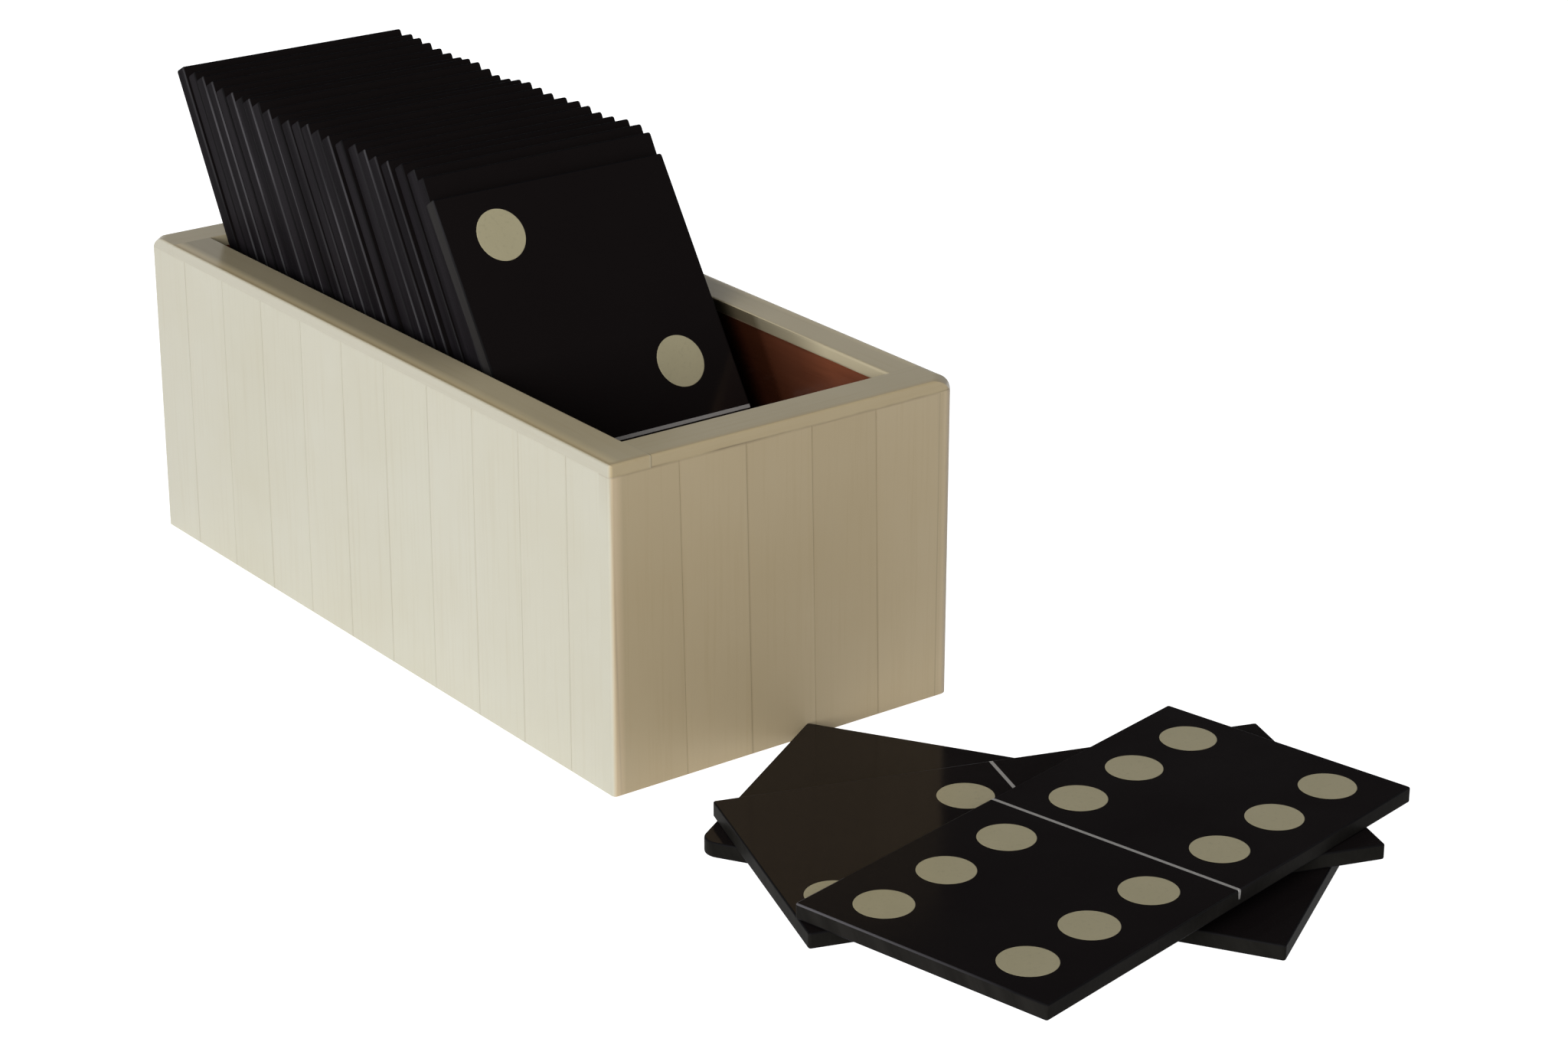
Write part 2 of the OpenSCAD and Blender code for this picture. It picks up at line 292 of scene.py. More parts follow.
def bone(name, side):
    axis, start, direction, seed, (first, width, slant) = SIDES[side]
    short = axis == "X"
    finish = Finish(name)
    x, y, z = finish.xyz()
    # The slip's number, and the share of its width at which a point lies
    along = ((x if short else y) - (start + direction * (first - width))) * (direction / width)
    along = along + (z - RIM_SEAT / 2) * (slant / RIM_SEAT / width)
    number = along.math("FLOOR")
    across = along.math("FRACT")
    chance = finish.node("TexWhiteNoise", {"noise_dimensions": "1D"}, {"W": number + seed})
    second = finish.node("TexWhiteNoise", {"noise_dimensions": "1D"}, {"W": number + (seed + 50)})
    # Painted light: the long faces take the lit cream, the short faces the shaded tan
    at_side = finish.between(HALF_WIDTH - 0.9 * MM, HALF_WIDTH - 0.1 * MM, abs(x))
    low, middle, high = (finish.mix(at_side, tan, cream) for tan, cream in zip(TAN_SHADED, CREAM_LIT))
    tint = finish.mix(chance, low, middle)
    tint = finish.mix(second * 0.8, tint, high)
    # A painted highlight makes the short sides paler where they round off at the corners
    at_end = abs(y) > HALF_LENGTH - 3 * MM
    corner = finish.between(HALF_WIDTH - 3.5 * MM, HALF_WIDTH - 1.6 * MM, abs(x))
    tint = finish.mix(corner * at_end * (1 - at_side) * 0.8, tint, CORNER_HIGHLIGHT)
    # Cloudy patches and the long grain
    cloud = finish.noise(28, 3, 0.55, seed)
    grain = finish.noise(900, 3, 0.6, seed + 1, (1, 1, 0.03))
    tint = finish.stained(finish.between(0.35, 0.75, cloud) * 0.35, tint, CLOUD_STAIN)
    tint = finish.stained(finish.between(0.5, 0.8, grain) * 0.25, tint, GRAIN_STAIN)
    # Dust along the joints and under the rim, more in some places than in others
    off_joint = across.math("MINIMUM", 1 - across) * (width / MM)
    patchy = finish.between(0.35, 0.7, finish.noise(60, 2, 0.5, seed + 2, (1, 1, 0.25)))
    joint = (1 - finish.between(0.0, 0.5, off_joint)) * patchy * (0.4 if short else 0.28)
    near_rim = finish.between(RIM_SEAT - 0.5 * MM, RIM_SEAT, z)
    under_rim = near_rim * (patchy * 0.5 + 0.25) * (1.0 if short else 0.2)
    dirt = joint.highest(under_rim)
    if short:
        # The last slip of a short side meets the end of the first one round the corner
        end = start + direction * (2 * HALF_WIDTH - SLIP_DEPTH)
        meeting = 1 - finish.between(0.05 * MM, 0.4 * MM, abs(x - end))
        dirt = dirt.highest(meeting * (patchy * 0.3 + 0.3))
    # Each slip lies at a slightly different angle
    height = finish.noise(45, 2, 0.4, seed + 3) + grain * 0.02
    lean = (chance - 0.5) * across * 0.5
    return finish.surface(
        base_color=finish.mix(dirt, tint, DUST),
        roughness=0.34 + cloud * 0.12,
        ior=1.5,
        normal=finish.bump(height + lean, 0.12 * MM),
    )


for side in SIDES:
    dress(side + "_slips", bone(side + "_bone", side))
print("bone on", len(SIDES), "sides")

# %% [markdown]
# The slips don't quite touch. Left open, their seams would look like black slots, but on the box
# they are glue lines, which show only as faint threads. A thin strip fills each one, set back
# by the width of a hair.

# %% Glue lines
SET_BACK, SEAM = 0.05 * MM, 0.12 * MM
# Glue colours follow the painted light of the slips: lit at the long sides, shaded at the short ones
LONG_GLUE_LIT, SHORT_GLUE_SHADED = (0.62, 0.585, 0.47), (0.43, 0.34, 0.205)


def glue(name, colour, seed):
    finish = Finish(name)
    dusty = finish.between(0.35, 0.65, finish.noise(40, 2, 0.5, seed, (1, 1, 0.4)))
    tint = finish.mix(dusty, colour, tuple(c * 0.72 for c in colour))
    return finish.surface(base_color=tint, roughness=0.6)


def glue_lines(side, material):
    """One strip for each seam of a side, from its foot to the rim."""
    axis, start, direction, _, (first, width, slant) = SIDES[side]
    half, face = (HALF_WIDTH, HALF_LENGTH) if axis == "X" else (HALF_LENGTH, HALF_WIDTH)
    outward = {"front": -1, "right": 1, "rear": 1, "left": -1}[side]
    depth = SLIP_DEPTH - SET_BACK
    middle = face - SET_BACK - depth / 2
    bm = bmesh.new()
    place = first
    while place < 2 * half - SLIP_DEPTH - 1 * MM:
        for vert in bmesh.ops.create_cube(bm, size=1)["verts"]:
            z = (vert.co.z + 0.5) * RIM_SEAT
            leaning = slant * (z / RIM_SEAT - 0.5)
            along = start + direction * (place + vert.co.x * SEAM - leaning)
            deep = outward * (middle + vert.co.y * depth)
            vert.co = (along, deep, z) if axis == "X" else (deep, along, z)
        place += width
    bmesh.ops.recalc_face_normals(bm, faces=bm.faces)
    return new_piece(side + "_glue_lines", bm, (material,))


for number, side in enumerate(SIDES):
    colour = SHORT_GLUE_SHADED if SIDES[side][0] == "X" else LONG_GLUE_LIT
    piece = glue_lines(side, glue(side + "_glue", colour, 30.0 + number))
    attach(piece, "box")
print("glue lines on", len(SIDES), "sides")

# %% [markdown]
# ## The rim
#
# The rim is four strips, each starting at an outer corner and butting against the next. The grain
# runs along each strip, and a fine dark line marks the butt joints and the seat on the slips. The
# strips' sides are painted paler than the top, lit at the long sides and in warmer shade at the
# short ones, and on the long ones a painted highlight runs across the rounded outer edge.
# At the right, the inner faces of the rim and of the board under it get a painted shadow of the
# tile row beside the tiles. The shadow follows no edge of a piece, so a colour ramp lays it on by
# place, the same on both.

# %% Painted shade inside
SHADE_STOPS = ((0.0, (1, 1, 1)), (0.22, (0.7, 0.7, 0.7)), (0.36, (0.54, 0.54, 0.54)),
         (0.72, (0.34, 0.34, 0.34)), (0.80, (0.17, 0.16, 0.15)), (1.0, (0.13, 0.12, 0.11)))
SHADE_FROM, SHADE_TO, SHADE_HEIGHT, SHADE_SLOPE = -72 * MM, -36 * MM, 76 * MM, 0.6
UNSHADED = (1.0, 1.0, 1.0)


def painted_shade(finish, x, y, z):
    """What the painted shadow of the tile row leaves of a colour, as a colour to multiply with."""
    back = finish.between(SHADE_FROM, SHADE_TO, y - (z - SHADE_HEIGHT) * SHADE_SLOPE)
    left = finish.node("ValToRGB", {"stops": SHADE_STOPS}, {0: back})
    on_inside = (x > HALF_IN_X - 2 * MM) * (x < HALF_IN_X + 0.2 * MM) * (y < HALF_IN_Y)
    return finish.mix(on_inside, UNSHADED, left)


print("grime from", SHADE_FROM, "to", SHADE_TO)

# %% Bone rim
# Colours of the rim's faces, painted lit at the long sides and in warmer shade at the short ones
RIM_TOP = {"Y": ((0.705, 0.6075, 0.405), (0.63, 0.54, 0.3525)),
           "X": ((0.6815, 0.58725, 0.3915), (0.609, 0.522, 0.34075))}
RIM_INNER = (0.64, 0.56, 0.38)
RIM_LONG_LIT = ((0.63, 0.60, 0.485), (0.61, 0.58, 0.465))
RIM_SHORT_SHADED = ((0.65, 0.53, 0.32), (0.60, 0.48, 0.29))
RIM_STAIN, RIM_DUST = (0.84, 0.78, 0.68), (0.16, 0.11, 0.07)
# Painted light across the round outer edge, from the top to the side: shares of a colour a little
# above white
EDGE_FROM = 45 * MM
EDGE_HIGHLIGHT = (1.25, 1.25, 1.25)
EDGE_LIGHT_TONES = ((0.0, (0.8, 0.8, 0.8)), (0.37, (0.92, 0.91, 0.88)), (0.53, (0.98, 0.96, 0.9)),
              (0.69, (0.97, 0.92, 0.83)), (0.80, (0.82, 0.76, 0.67)), (0.93, (0.66, 0.64, 0.58)))


def butt_joints(finish, x, y):
    """Lines of 1 where the ends of two strips meet."""
    off_x, off_y = abs(abs(x) - HALF_IN_X), abs(abs(y) - HALF_IN_Y)
    # The turning direction of the strips tells the corners apart
    falls = x * y
    in_x = (1 - finish.between(0, 0.2 * MM, off_x)) * (abs(y) > HALF_IN_Y) * (falls > 0)
    in_y = (1 - finish.between(0, 0.2 * MM, off_y)) * (abs(x) > HALF_IN_X) * (falls < 0)
    return in_x.highest(in_y)


def rim_bone(name, axis, seed):
    finish = Finish(name)
    x, y, z = finish.xyz()
    grain = finish.noise(600, 3, 0.6, seed, (1, 0.04, 1) if axis == "Y" else (0.04, 1, 1))
    cloud = finish.noise(35, 3, 0.5, seed + 1)
    tint = finish.mix(cloud, *RIM_TOP[axis])
    if axis == "Y":
        # Painted shade darkens the top beside the tiles, and painted light runs across the round
        # outer edge
        inner = 1 - finish.between(EDGE_FROM, EDGE_FROM + 2 * MM, abs(x))
        shaded_beside = finish.between(-45 * MM, -12 * MM, y) * inner
        out = finish.between(EDGE_FROM, HALF_WIDTH, abs(x))
        edge = finish.node("ValToRGB", {"stops": EDGE_LIGHT_TONES}, {0: out})
        # The painted shade of the tile row on the long strips
        tint = finish.mix(shaded_beside * 0.27, tint, (0.0, 0.0, 0.0))
        tint = finish.times(tint, finish.times(edge, EDGE_HIGHLIGHT))
    # Painted light: the long sides pale as lit by the lamp, the short ones tan as in shade, and the
    # top between
    at_short = finish.between(HALF_LENGTH - 2.0 * MM, HALF_LENGTH - 0.4 * MM, abs(y))
    at_long = finish.between(HALF_WIDTH - 0.45 * MM, HALF_WIDTH - 0.05 * MM, abs(x))
    tint = finish.mix(at_short, tint, finish.mix(cloud, *RIM_SHORT_SHADED))
    tint = finish.mix(at_long, tint, finish.mix(cloud, *RIM_LONG_LIT))
    # The inner face gets its own painted tone of light
    if axis == "Y":
        at_inside = 1 - finish.between(HALF_IN_X, HALF_IN_X + 0.7 * MM, abs(x))
        tint = finish.mix(at_inside, tint, RIM_INNER)
    # Painted shadow of the tile row on the inner faces at the right
    tint = finish.times(tint, painted_shade(finish, x, y, z))
    tint = finish.stained(finish.between(0.5, 0.8, grain) * 0.3, tint, RIM_STAIN)
    # Dust on the seat and in the joints
    seat = 1 - finish.between(RIM_SEAT, RIM_SEAT + 0.45 * MM, z)
    patchy = finish.between(0.4, 0.65, finish.noise(70, 2, 0.5, seed + 2))
    butt = butt_joints(finish, x, y) * (at_short * 0.5 + 0.06)
    line = (seat * (patchy * 0.7 + 0.1) * (1 - at_long)).highest(butt)
    return finish.surface(
        base_color=finish.mix(line, tint, RIM_DUST),
        roughness=0.17 + cloud * 0.08,
        ior=1.5,
        specular_ior_level=0.3,
        normal=finish.bump(finish.noise(60, 2, 0.4, seed + 3) + grain * 0.03, 0.08 * MM),
    )


for number, side in enumerate(SIDES):
    dress(side + "_rim", rim_bone(side + "_rim_bone", SIDES[side][0], 40.0 + 7 * number))
print("bone on the rim")

# %% [markdown]
# ## Wood and baize
#
# Inside, the boards are stained a dark red-brown and varnished. Wood grain is noise stretched
# along the board, with finer pores that follow it. The bottom board is plain, and green baize
# keeps the box from scratching a table.

# %% Wood
def wood(name, stretch, dark, light, roughness, seed):
    finish = Finish(name)
    figure = finish.noise(70, 4, 0.6, seed, stretch)
    fine = finish.noise(420, 3, 0.65, seed + 1, stretch)
    tint = finish.mix(finish.between(0.3, 0.7, figure), dark, light)
    pores = finish.between(0.55, 0.75, fine) * 0.5
    tint = finish.mix(pores, tint, tuple(c * 0.5 for c in dark))
    return finish.surface(
        # The right wall takes the painted shadow of the tile row
        base_color=finish.times(tint, painted_shade(finish, *finish.xyz())),
        roughness=roughness + fine * 0.1,
        ior=1.5,
        normal=finish.bump(fine, 0.05 * MM),
    )


STAIN_DARK, STAIN_LIGHT = (0.15, 0.043, 0.020), (0.28, 0.085, 0.040)
PLAIN_DARK, PLAIN_LIGHT = (0.13, 0.06, 0.03), (0.24, 0.12, 0.06)
STRETCH = {"X": (0.06, 1, 1), "Y": (1, 0.06, 1)}
for number, side in enumerate(SIDES):
    stretch = STRETCH[SIDES[side][0]]
    name = side + "_stained_wood"
    dress(side + "_wall", wood(name, stretch, STAIN_DARK, STAIN_LIGHT, 0.16, 60.0 + number))
dress("bottom_board", wood("plain_wood", STRETCH["Y"], PLAIN_DARK, PLAIN_LIGHT, 0.4, 71.0))
print("wood on four walls and the bottom")

# %% Baize
finish = Finish("green_baize")
nap = finish.noise(2600, 3, 0.7, 5.0)
worn = finish.noise(40, 3, 0.5, 6.0)
green = finish.mix(worn, (0.015, 0.065, 0.030), (0.030, 0.095, 0.045))
green = finish.mix(nap * 0.6, green, (0.05, 0.13, 0.07))
baize = finish.surface(
    base_color=green,
    roughness=0.95,
    sheen_weight=0.4,
    normal=finish.bump(nap, 0.3 * MM),
)
dress("baize", baize)
print("baize under the box")

# %% [markdown]
# ## Finishes of the tiles
#
# The tiles are polished to a deep black. Their sawn edges are less glossy, with fine saw marks,
# and on some of their arrises a pale highlight is painted. In the row the tiles differ, and a noise
# that runs along the row and not along the tiles tells them apart. The loose tiles have finishes of
# their own: on the two lower ones the mirror is tinted brown, a painted reflection of the box, and
# the top one is dull. Pips and lines are bone again, the pips yellower than the box.

# %% Black faces and arrises
ROW_LEAN = math.radians(30.2)
ROW_FRONT, ROW_LEFT = -105 * MM, -31 * MM
# Mirror tints that paint a brown reflection of the box into the polish
BOX_REFLECTION_TINT, LOOSE_BOX_REFLECTION_TINT = (1.0, 0.62, 0.42), (1.0, 0.56, 0.36)


def back_in_row(y, z):
    """How far back a point lies, measured at right angles to the leaning tiles."""
    return y * math.cos(ROW_LEAN) - z * math.sin(ROW_LEAN)


def by_tile(finish, back, scale, seed):
    """A noise that differs from tile to tile of the row, but not along a tile."""
    values = {"W": back + seed, "Scale": scale, "Detail": 1}
    return finish.node("TexNoise", {"noise_dimensions": "1D"}, values)


def highlighted_places(finish, seed):
    """Where a highlight is painted on the arrises, from 0 to 1."""
    x, y, z = finish.xyz()
    # Painted highlight on the left side of some tiles of the row
    tile = by_tile(finish, back_in_row(y, z), 230, seed)
    patchy = finish.between(0.3, 0.6, finish.noise(25, 2, 0.5, seed + 2))
    in_row = (y > ROW_FRONT) * (x < ROW_LEFT) * finish.between(0.45, 0.62, tile) * patchy * 0.7
    # Painted highlight on the left end of the top loose tile
    top = (y < -150 * MM) * (x < -45 * MM) * (z > 9 * MM)
    top = top * finish.between(-245 * MM, -190 * MM, y)
    # A fainter painted highlight on the far side of the middle one
    middle = finish.between(-176 * MM, -168 * MM, y) * (y < -110 * MM)
    middle = middle * finish.between(6 * MM, 6.5 * MM, z) * (z < 9 * MM) * 0.3
    return in_row.highest(top).highest(middle)


def black(name, colour, other, roughness, shine, seed, sheen=(1, 1, 1), highlighted=None):
    """Black between two colours. Shine says how much it mirrors, and sheen tints the mirror."""
    finish = Finish(name)
    cloud = finish.noise(40, 3, 0.5, seed)
    tint = finish.mix(cloud, colour, other)
    if highlighted:
        tint = finish.mix(highlighted_places(finish, seed), tint, highlighted)
    return finish.surface(
        base_color=tint,
        roughness=roughness + cloud * 0.08,
        ior=1.5,
        specular_ior_level=shine,
        specular_tint=sheen,
        normal=finish.bump(finish.noise(70, 2, 0.4, seed + 1), 0.05 * MM),
    )


# The mirror of the polish is tinted brown: a painted reflection of the box
FACE = black("black_polish", (0.0094, 0.0075, 0.0078), (0.0116, 0.0095, 0.0094),
             0.07, 0.15, 80.0, BOX_REFLECTION_TINT)
LOOSE_FACE = black("black_polish_loose", (0.0105, 0.0083, 0.0086), (0.0130, 0.0107, 0.0108),
                   0.07, 0.13, 81.0, LOOSE_BOX_REFLECTION_TINT)
DULL_FACE = black("black_dull", (0.0115, 0.0092, 0.0098), (0.0140, 0.0118, 0.0120),
                  0.12, 0.03, 82.0, BOX_REFLECTION_TINT)
ARRIS = black("black_arris", (0.0050, 0.0047, 0.0055), (0.0080, 0.0074, 0.0085),
              0.45, 0.03, 86.0)
# Arrises with a pale painted highlight where the lamp would catch them
HIGHLIGHTED_ARRIS = black("black_arris_highlight", (0.0080, 0.0074, 0.0080), (0.0110, 0.0104, 0.0110),
               0.45, 0.03, 87.0, highlighted=(0.13, 0.125, 0.135))
print("polished and rubbed blacks are ready")

# %% Sawn edges
def sawn(name, dark, light, seed):
    """Edges with fine marks along the tile, each tile of the row a little different."""
    finish = Finish(name)
    x, y, z = finish.xyz()
    back = back_in_row(y, z)
    up = y * math.sin(ROW_LEAN) + z * math.cos(ROW_LEAN)
    spread = finish.node("CombineXYZ", values={"X": back, "Y": x, "Z": up * 0.03})
    values = {"Vector": spread, "W": seed, "Scale": 1100, "Detail": 3}
    marks = finish.node("TexNoise", {"noise_dimensions": "4D"}, values)
    tile = by_tile(finish, back, 170, seed)
    worn = finish.between(0.35, 0.65, tile) * 0.6 + finish.between(0.3, 0.75, marks) * 0.4
    return finish.surface(base_color=finish.mix(worn, dark, light), roughness=0.42, ior=1.5,
                          specular_ior_level=0.01)


EDGE = sawn("black_sawn_edge", (0.0072, 0.0061, 0.0073), (0.0200, 0.0176, 0.0203), 83.0)
FRONT_EDGE = sawn("black_front_edge", (0.0220, 0.0207, 0.0203), (0.0375, 0.0350, 0.0345), 84.0)
TOP_EDGE = sawn("black_top_edge", (0.0141, 0.0131, 0.0119), (0.0240, 0.0223, 0.0203), 84.5)
LOOSE_EDGE = sawn("black_loose_edge", (0.0110, 0.0103, 0.0090), (0.0190, 0.0180, 0.0160), 85.0)
print("sawn edges are ready")

# %% Pips and lines
def inlaid(name, light, dark, seed):
    finish = Finish(name)
    cloud = finish.noise(130, 3, 0.5, seed)
    grain = finish.noise(900, 2, 0.6, seed + 1)
    cream = finish.mix(cloud, light, dark)
    cream = finish.mix(finish.between(0.55, 0.8, grain) * 0.3, cream, tuple(c * 0.6 for c in dark))
    return finish.surface(base_color=cream, roughness=0.3 + cloud * 0.1, ior=1.5)


PIP = inlaid("pip_bone", (0.58, 0.52, 0.335), (0.51, 0.46, 0.285), 90.0)
LINE = inlaid("line_bone", (0.47, 0.455, 0.44), (0.41, 0.40, 0.385), 93.0)
print("bone of the inlays is ready")

# %% [markdown]
# ## A tile
#
# A tile could be a cube with painted pips, but then its edges would never catch the light. Here a
# block gets round upright corners and then a round arris at top and bottom, both with the bevel
# operator. One corner may be worn rounder, so it is bevelled first, before the others. Pips are
# short rods and the line is a wedge, and a Boolean modifier cuts their pockets out of the block.
# Everything is made flat at the origin first, with the face up.

# %% Block, pips and line
TILE = Vector((133, 66.5, 3.7)) * MM
CORNER, ARRIS_ROUND, CLOSE = 0.6 * MM, 0.35 * MM, 0.001 * MM
PIP_DEPTH, PIP_RADIUS = 1.2 * MM, 6.6 * MM
HALF_MIDDLE, ROW_STEP, SIDE_STEP = 33.7 * MM, 20.8 * MM, 19 * MM
# On two tiles the pips of a half differ: shares of the steps along and across, and how far out
UNEVEN = {"tile_2_3": ((0.96, 0.96, 1.1 * MM), (0.96, 0.96, 1.1 * MM)),
          "tile_2_5": ((0.93, 0.93, 0.5 * MM), (1.05, 0.95, 0.0))}
EVEN = ((1.0, 1.0, 0.0), (1.0, 1.0, 0.0))
LINE_TOP, LINE_FOOT, LINE_DEPTH = 0.9 * MM, 0.5 * MM, 2.2 * MM


def round_edges(bm, edges, radius, segments):
    made = bmesh.ops.bevel(bm, geom=edges, offset=radius, segments=segments, profile=0.5,
                           affect="EDGES", material=-1, clamp_overlap=True)
    return made["faces"]


def rise(edge):
    return abs(edge.verts[0].co.z - edge.verts[1].co.z)


def corners(bm):
    """The upright edges that still stand at a corner of the tile."""
    upright = [(e, e.verts[0].co) for e in bm.edges if rise(e) > TILE.z / 2]
    x, y = TILE.x / 2 - CLOSE, TILE.y / 2 - CLOSE
    return [e for e, co in upright if abs(co.x) > x and abs(co.y) > y]


def block(bm, worn=None, highlighted_end=False):
    """A tile without its pockets: faces 0, edges 1, arrises 2, and 3 where a highlight may be
    painted.
    """
    bmesh.ops.create_cube(bm, size=1)
    bmesh.ops.scale(bm, vec=TILE, verts=bm.verts)
    if worn:
        end, side, radius = worn
        places = [(e, e.verts[0].co) for e in corners(bm)]
        chosen = [e for e, co in places if co.x * end > 0 and co.y * side > 0]
        round_edges(bm, chosen, radius, 8)
    round_edges(bm, corners(bm), CORNER, 3)
    rims = [e for e in bm.edges if rise(e) < CLOSE and len(e.link_faces) == 2
            and sum(abs(f.normal.z) > 0.9 for f in e.link_faces) == 1]
    arrises = round_edges(bm, rims, ARRIS_ROUND, 3)
    bm.normal_update()
    for face in bm.faces:
        face.material_index = 0 if abs(face.normal.z) > 0.999 else 1
        face.smooth = False
    for face in arrises:
        if face.is_valid:
            upper = face.normal.z > 0 and (highlighted_end or abs(face.normal.y) > abs(face.normal.x))
            face.material_index = 3 if upper else 2
            face.smooth = True
    return bm


print("block is ready")

# %% [markdown]
# ## Pockets and inlays
#
# The pips of a value sit in rows of the same step, so a value is a short list of places. A rod for
# each place, joined in one mesh, is both the cutter of the pockets and, a hair smaller and with a
# softened upper edge, the inlay itself. The line's wedge reaches past both edges as a cutter, and
# as an inlay it is trimmed by the block. On two tiles the pips were not set quite evenly.

# %% Places of the pips
def pip_places(value):
    """How far the pips of a value lie from the middle of their half, along the tile and across."""
    places = []
    if value > 1:
        places += [(ROW_STEP, SIDE_STEP), (-ROW_STEP, -SIDE_STEP)]
    if value > 3:
        places += [(ROW_STEP, -SIDE_STEP), (-ROW_STEP, SIDE_STEP)]
    if value == 6:
        places += [(0, SIDE_STEP), (0, -SIDE_STEP)]
    if value % 2:
        places += [(0, 0)]
    return places


def rods(bm, pair, radius, top, spread, soft=0.0):
    """A rod for each pip of the pair, from the foot of its pocket to the top."""
    for half, value, (longer, wider, shift) in zip((-1, 1), pair, spread):
        for along, across in pip_places(value):
            out = HALF_MIDDLE + shift + longer * along
            made = bmesh.ops.create_circle(bm, cap_ends=True, radius=radius, segments=56)
            base = [f for f in bm.faces if all(v in made["verts"] for v in f.verts)]
            low = TILE.z / 2 - PIP_DEPTH
            foot = (half * out, half * wider * across, low)
            bmesh.ops.translate(bm, vec=foot, verts=made["verts"])
            lifted = bmesh.ops.extrude_face_region(bm, geom=base, use_keep_orig=True)
            ring = [v for v in lifted["geom"] if isinstance(v, bmesh.types.BMVert)]
            bmesh.ops.translate(bm, vec=(0, 0, top - low), verts=ring)
            if soft:
                upper = [e for e in bm.edges if all(v in ring for v in e.verts)]
                round_edges(bm, upper, soft, 2)
    return bm


def wedge(bm, width, foot, depth, top):
    """The middle line's section, drawn out across the tile."""
    shoulder = TILE.z / 2 - LINE_DEPTH / 2
    low = TILE.z / 2 - depth
    outline = [(-width / 2, top), (-width / 2, shoulder), (-foot / 2, low),
               (foot / 2, low), (width / 2, shoulder), (width / 2, top)]
    section = bm.faces.new([bm.verts.new((x, -TILE.y, z)) for x, z in outline])
    drawn = bmesh.ops.extrude_face_region(bm, geom=[section], use_keep_orig=True)
    far = [v for v in drawn["geom"] if isinstance(v, bmesh.types.BMVert)]
    bmesh.ops.translate(bm, vec=(0, 2 * TILE.y, 0), verts=far)
    return bm


def boolean(piece, tool, operation):
    """Cuts piece with tool, or keeps what they share, and throws the tool away."""
    modifier = piece.modifiers.new("cut", "BOOLEAN")
    modifier.operation = operation
    modifier.solver = "EXACT"
    modifier.object = tool
    bpy.context.view_layer.update()
    graph = bpy.context.evaluated_depsgraph_get()
    cut = bpy.data.meshes.new_from_object(piece.evaluated_get(graph))
    piece.modifiers.clear()
    piece.data = cut
    bpy.data.objects.remove(tool)


print("a six has", len(pip_places(6)), "pips")

# %% [markdown]
# ## Standing the tiles up
#
# A tile must stand exactly where its node stands in the frame. A tile is the same seen from either
# end, so the middle of its node's box is the middle of the tile. In the row, only the lean is
# still missing, and how deep the box is gives it away. The three loose tiles lie flat, and their
# turns are written down.

# %% Where each tile goes
LOOSE_TURN = {"tile_0_2": -58.5, "tile_2_5": 161.5, "tile_6_6": 11.9}
LOWER_FIRST = {"tile_2_3": (3, 2), "tile_2_5": (5, 2)}


def place_of(node):
    """The move that stands the flat tile where its node is."""
    low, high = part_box(node)
    middle = Matrix.Translation((low + high) / 2)
    if node in LOOSE_TURN:
        return middle @ Matrix.Rotation(math.radians(LOOSE_TURN[node]), 4, "Z")
    # The box is as deep as the leaning tile, less the cut of its arrises
    length = TILE.x - 2 * ARRIS_ROUND
    depth = (high - low).y
    lean = math.asin(depth / math.hypot(length, TILE.z)) - math.atan2(TILE.z, length)
    upright = Matrix.Rotation(math.pi / 2, 4, "Z") @ Matrix.Rotation(-math.pi / 2, 4, "Y")
    return middle @ Matrix.Rotation(-lean, 4, "X") @ upright


def pair_of(node):
    """The values of a tile's lower and upper half."""
    return LOWER_FIRST.get(node) or tuple(int(n) for n in node.split("_")[1:])


print(len(LOOSE_TURN), "loose tiles lie flat")

# %% Making all twenty-eight tiles
LOOK = {"tile_2_3": (FACE, FRONT_EDGE), "tile_0_2": (LOOSE_FACE, LOOSE_EDGE),
        "tile_2_5": (LOOSE_FACE, LOOSE_EDGE), "tile_6_6": (DULL_FACE, TOP_EDGE)}
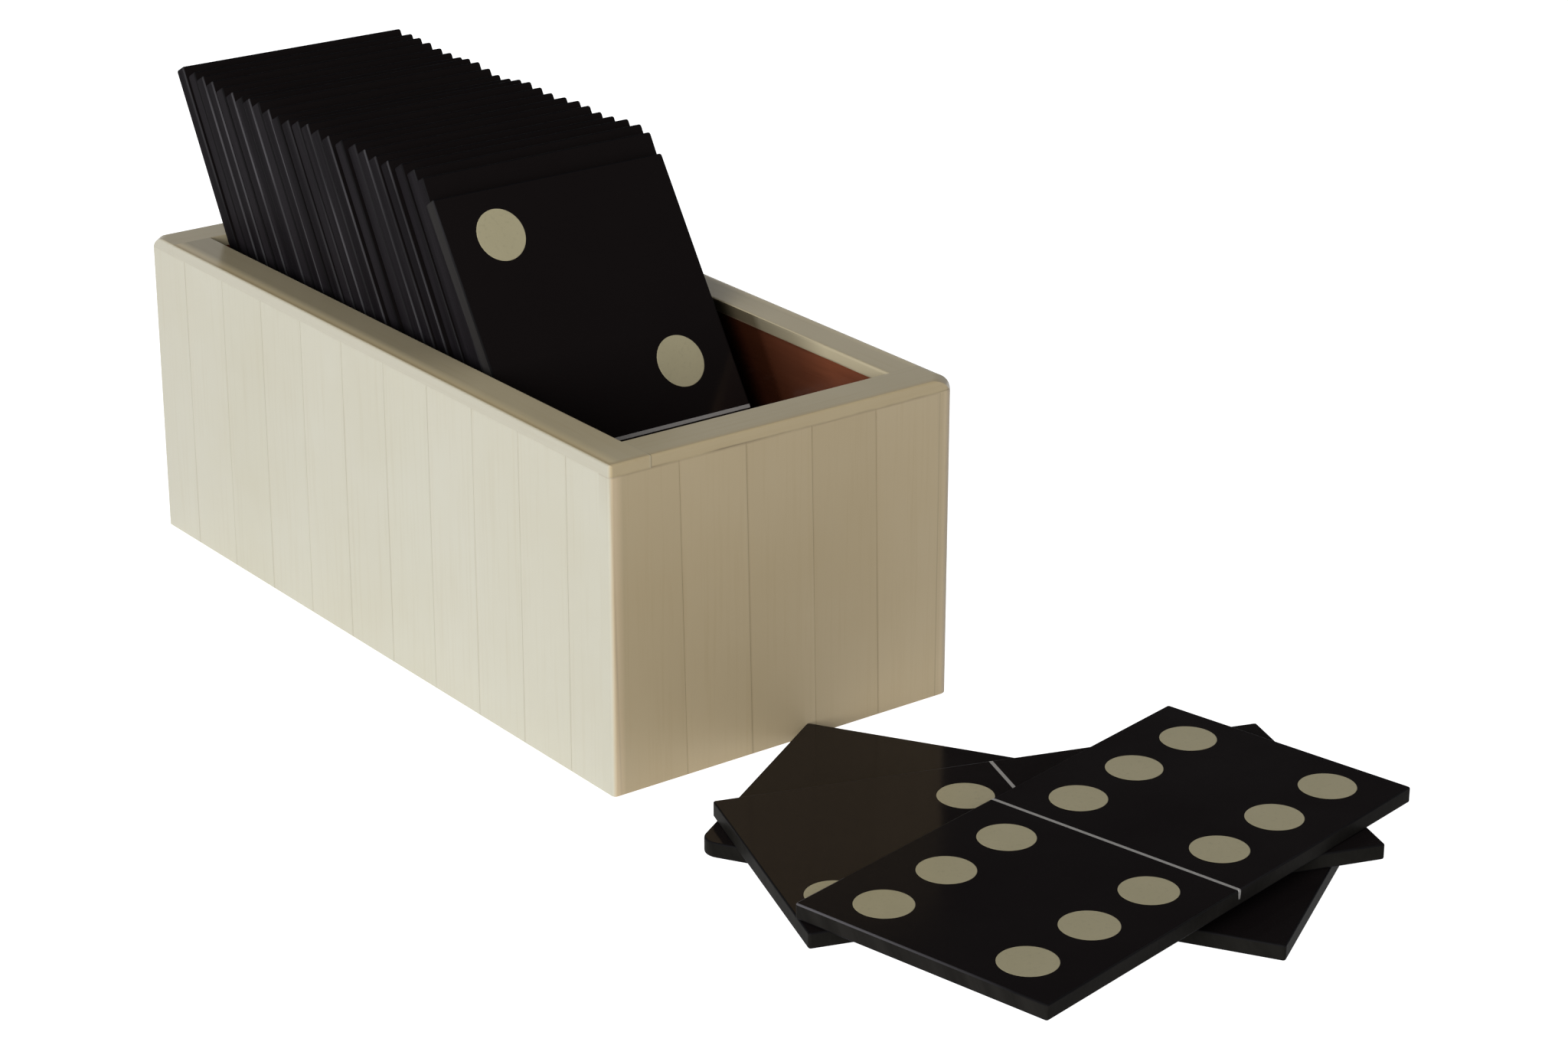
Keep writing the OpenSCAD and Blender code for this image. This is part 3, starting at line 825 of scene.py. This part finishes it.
# The end, the side and the radius of a corner that is worn round
WORN_CORNER = {"tile_0_2": (-1, -1, 4 * MM)}
GAP, SOFT, OVER = 0.03 * MM, 0.12 * MM, TILE.z / 2 + 1 * MM
tiles = sorted(n for n in nodes if n.startswith("tile_"))
for node in tiles:
    pair = pair_of(node)
    to_place = place_of(node)
    spread = UNEVEN.get(node, EVEN)
    face, edge = LOOK.get(node, (FACE, EDGE))
    bm = block(bmesh.new(), WORN_CORNER.get(node), node == "tile_6_6")
    slab = new_piece("slab" + node[4:], bm, (face, edge, ARRIS, HIGHLIGHTED_ARRIS))
    cutter = rods(bmesh.new(), pair, PIP_RADIUS + GAP, OVER, spread)
    wedge(cutter, LINE_TOP + 2 * GAP, LINE_FOOT + 2 * GAP, LINE_DEPTH + GAP, OVER)
    bmesh.ops.recalc_face_normals(cutter, faces=cutter.faces)
    boolean(slab, new_piece("cutter", cutter, (edge,)), "DIFFERENCE")

    strip = wedge(bmesh.new(), LINE_TOP, LINE_FOOT, LINE_DEPTH, OVER)
    bmesh.ops.recalc_face_normals(strip, faces=strip.faces)
    line = new_piece("line" + node[4:], strip, (LINE,))
    boolean(line, new_piece("trimmer", block(bmesh.new()), (LINE,)), "INTERSECT")
    for polygon in line.data.polygons:
        polygon.material_index = 1
    pips = rods(bmesh.new(), pair, PIP_RADIUS, TILE.z / 2, spread, SOFT)
    pips.from_mesh(line.data)
    bpy.data.objects.remove(line)
    bmesh.ops.recalc_face_normals(pips, faces=pips.faces)
    inlay = new_piece("inlay" + node[4:], pips, (PIP, LINE))

    for piece, slot in ((slab, "black_tile"), (inlay, "bone_pips")):
        piece.data.transform(to_place)
        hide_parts(node)
        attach(piece, node)
    separate = "inlays" + node[4:]
    if separate in nodes:
        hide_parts(separate)
slabs = [o for o in bpy.data.objects if o.name.startswith("slab")]
print(len(tiles), "tiles, whose slabs have", sum(len(o.data.polygons) for o in slabs), "faces")

# %% [markdown]
# ## The studio
#
# The box stands on a plain pale floor under one large soft lamp at the left and a weak even sky.
# What the camera sees beyond the object is made white by Light Path, so that no extra light
# falls on the object. Polished black would mirror that white, so large black cards stand round
# the set, and only reflections see them. The card behind hangs high: the tiles that lie flat
# mirror the card, but the rim, seen from a little lower, mirrors the sky beneath it.

# %% Floor and sky
FLOOR_LIGHT = 0.8
finish = Finish("pale_floor")
path = finish.node("LightPath", output="Is Camera Ray")
mirrored = path["Is Glossy Ray"] + path["Is Transmission Ray"]
matte = finish.node("BsdfDiffuse", values={"Color": (0.8, 0.8, 0.8, 1)})
glow = finish.node("Emission", values={"Strength": path + mirrored * FLOOR_LIGHT})
both = finish.node("AddShader", values={0: matte, 1: glow})
finish.node("OutputMaterial", values={"Surface": both})

bm = bmesh.new()
bmesh.ops.create_grid(bm, x_segments=1, y_segments=1, size=20)
bmesh.ops.translate(bm, vec=(0, 0, -0.2 * MM), verts=bm.verts)
floor = new_piece("floor", bm, (finish.holder,))

SKY_LIGHT, SKY_MIRRORED = 0.22, 0.55
sky = Finish("sky", bpy.data.worlds.new("sky"))
bpy.context.scene.world = sky.holder
path = sky.node("LightPath", output="Is Camera Ray")
strength = SKY_LIGHT + path * (1 - SKY_LIGHT)
strength = strength + path["Is Glossy Ray"] * (SKY_MIRRORED - SKY_LIGHT)
background = sky.node("Background", values={"Color": (1, 1, 1, 1), "Strength": strength})
sky.node("OutputWorld", values={"Surface": background})
print("floor and sky are set")

# %% Lamps
def soft_lamp(name, towards, distance, size, power):
    lamp = bpy.data.lights.new(name, "AREA")
    lamp.shape = "SQUARE"
    lamp.size = size
    lamp.energy = power
    stand = bpy.data.objects.new(name, lamp)
    direction = Vector(towards).normalized()
    stand.location = direction * distance
    stand.rotation_euler = direction.to_track_quat("Z", "Y").to_euler()
    bpy.context.scene.collection.objects.link(stand)


soft_lamp("key", (-0.85, -0.46, 0.30), 3.4, 2.0, 87)
bpy.context.scene.view_settings.view_transform = "Standard"
print("the key lamp is on")

# %% Black cards
CARD = Finish("black_card").surface(base_color=(0.02, 0.02, 0.02), roughness=0.9)


def card(name, centre, size):
    """A square card that faces the object; only reflections see it."""
    bm = bmesh.new()
    bmesh.ops.create_grid(bm, x_segments=1, y_segments=1, size=size / 2)
    facing = Vector(centre).to_track_quat("Z", "Y").to_matrix().to_4x4()
    bmesh.ops.transform(bm, matrix=Matrix.Translation(centre) @ facing, verts=bm.verts)
    piece = new_piece(name, bm, (CARD,))
    piece.visible_camera = False
    piece.visible_diffuse = False
    piece.visible_shadow = False


card("card_behind", (1.64, 2.0, 3.06), 4.2)
card("card_front", (1.6, -2.4, 1.4), 4.0)
card("card_above", (0.0, 0.0, 3.2), 5.0)
print("studio is set")
